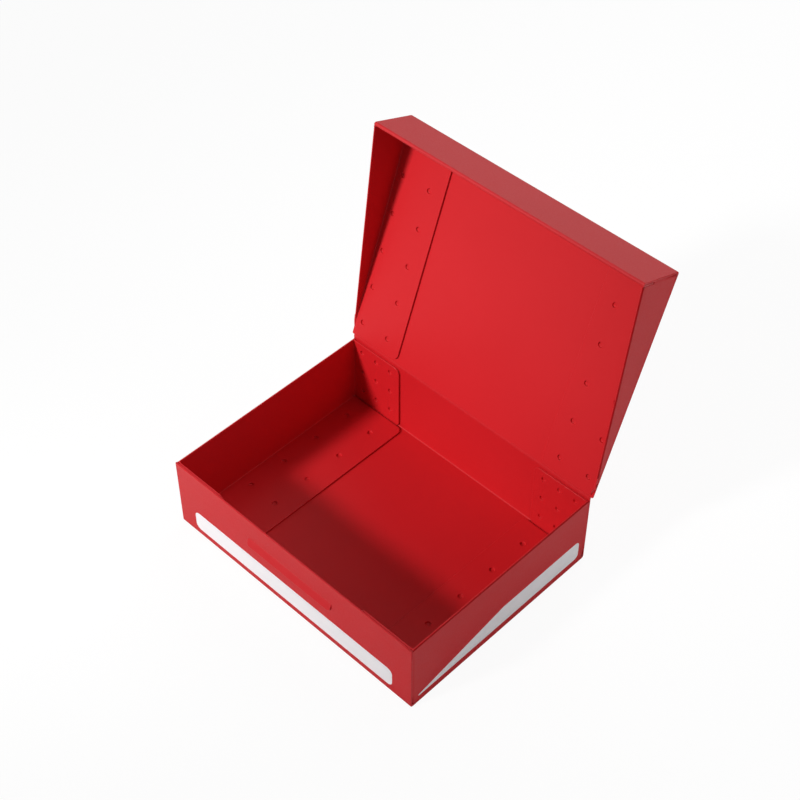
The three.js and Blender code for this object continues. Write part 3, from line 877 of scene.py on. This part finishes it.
finish_sheet(lid_sheet(), ["lid_panel", "lid_front_wall", "lid_front_hem"], "lid")
lid_right_side = lid_side_sheet()
lid_left_side = mirror_piece(lid_right_side, "lid_left_side_sheet")
for side, piece in (("left", lid_left_side), ("right", lid_right_side)):
    names = [f"lid_{side}_{part}" for part in ("wall", "flap", "corner_flap")]
    finish_sheet(piece, names, "lid")

web = finish_sheet(hinge_web(), ["hinge_crease"])
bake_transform(web)

tongue = finish_sheet(snap_tongue(), ["snap_tongue"])
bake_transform(tongue)

for band in ("front_band", "left_band", "right_band"):
    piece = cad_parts[band]
    piece.data.materials.clear()
    piece.data.materials.append(PRINT)


# The floor, the light and the camera

def pale_floor():
    """A plain matt white board. The camera sees it nearly white, with the object's shadow kept faint."""
    material, tree = new_material("matt_white_board")
    path = node(tree, "ShaderNodeLightPath")
    board = node(tree, "ShaderNodeBsdfDiffuse", None, {"Color": linear("#E6E6E6")})
    white = node(tree, "ShaderNodeEmission", None, {"Color": (1, 1, 1, 1), "Strength": 1.03})
    seen = node(tree, "ShaderNodeMath", {"operation": "MULTIPLY"}, {1: 0.9}, {0: (path, "Is Camera Ray")})
    mix = node(tree, "ShaderNodeMixShader", None, None, {0: (seen, 0), 1: (board, 0), 2: (white, 0)})
    node(tree, "ShaderNodeOutputMaterial", None, None, {"Surface": (mix, 0)})
    mesh = bpy.data.meshes.new("floor")
    reach = 6.0
    corners = [(-reach, -reach, 0), (reach, -reach, 0), (reach, reach, 0), (-reach, reach, 0)]
    mesh.from_pydata(corners, [], [(0, 1, 2, 3)])
    mesh.materials.append(material)
    floor = bpy.data.objects.new("floor", mesh)
    bpy.context.scene.collection.objects.link(floor)
    floor.location.z = -0.01 * MM


def studio_world():
    world = bpy.data.worlds.new("studio")
    bpy.context.scene.world = world
    world.use_nodes = True
    tree = world.node_tree
    tree.nodes.clear()
    path = node(tree, "ShaderNodeLightPath")
    soft = node(tree, "ShaderNodeBackground", None, {"Color": (1, 1, 1, 1), "Strength": 0.22})
    white = node(tree, "ShaderNodeBackground", None, {"Color": (1, 1, 1, 1), "Strength": 1.0})
    mix = node(tree, "ShaderNodeMixShader", None, None,
               {0: (path, "Is Camera Ray"), 1: (soft, 0), 2: (white, 0)})
    node(tree, "ShaderNodeOutputWorld", None, None, {"Surface": (mix, 0)})


def lamp(name, kind, towards, watts, distance, aim):
    """A lamp at a distance from the point that it is aimed at, shining along towards. The camera doesn't see it."""
    data = bpy.data.lights.new(name, kind)
    data.energy = watts
    light = bpy.data.objects.new(name, data)
    way = Vector(towards).normalized()
    light.rotation_euler = way.to_track_quat("-Z", "Y").to_euler()
    light.location = Vector(aim) - way * distance
    light.visible_camera = False
    bpy.context.scene.collection.objects.link(light)
    return data


def soft_box(name, towards, watts, size, distance, aim=(0, 0, 0.04)):
    lamp(name, "AREA", towards, watts, distance, aim).size = size


def soft_beam(name, towards, watts, distance, aim, half_width, softness):
    """A beam that fades out at half_width from the point that it is aimed at."""
    data = lamp(name, "SPOT", towards, watts, distance, aim)
    data.shadow_soft_size = softness
    data.spot_size = 2 * math.atan(half_width / distance)
    data.spot_blend = 1.0


def studio_lights():
    # The key light falls off from left to right over the box, as in the photograph: a soft-edged beam from the
    # front left, brightest at the lid's left end
    soft_beam("key", (0.236, 0.802, -0.549), 104.0, 1.5, (-0.036, 0.041, 0.05), 0.185, 0.12)
    soft_box("back_left", (0.48, -0.80, -0.35), 1.95, 0.9, 1.2)
    soft_box("back_top", (0.1, -0.7, -0.7), 2.5, 0.8, 1.0)
    soft_box("right", (-0.95, -0.2, -0.20), 0.165, 0.2, 0.25, (0.05, 0.045, 0.072))
    # A pool of light on the floor at the front left, whose reflection makes the front wall hazy there
    soft_beam("floor_pool", (0, 0, -1), 6.5, 0.6, (-0.075, -0.085, 0), 0.07, 0.05)


pale_floor()
studio_world()
studio_lights()


def photograph_camera():
    """The viewpoint fitted to the corners of the box."""
    azimuth, elevation, roll = (math.radians(a) for a in (44.2149, 46.3111, 0.0967))
    target = Vector((-35.847, 44.632, 0)) * MM
    distance = 535.382 * MM
    back = Vector((math.sin(azimuth) * math.cos(elevation), -math.cos(azimuth) * math.cos(elevation),
                   math.sin(elevation)))
    right = Vector((math.cos(azimuth), math.sin(azimuth), 0))
    up = back.cross(right)
    rolled_right = math.cos(roll) * right + math.sin(roll) * up
    rolled_up = math.cos(roll) * up - math.sin(roll) * right
    turned = Matrix((rolled_right, rolled_up, back)).transposed()
    data = bpy.data.cameras.new("camera")
    data.lens = 74.956
    data.sensor_width = 36
    data.clip_start = 0.01
    camera = bpy.data.objects.new("camera", data)
    camera.matrix_world = Matrix.Translation(target + back * distance) @ turned.to_4x4()
    bpy.context.scene.collection.objects.link(camera)
    bpy.context.scene.camera = camera


photograph_camera()
bpy.context.scene.view_settings.view_transform = "Standard"
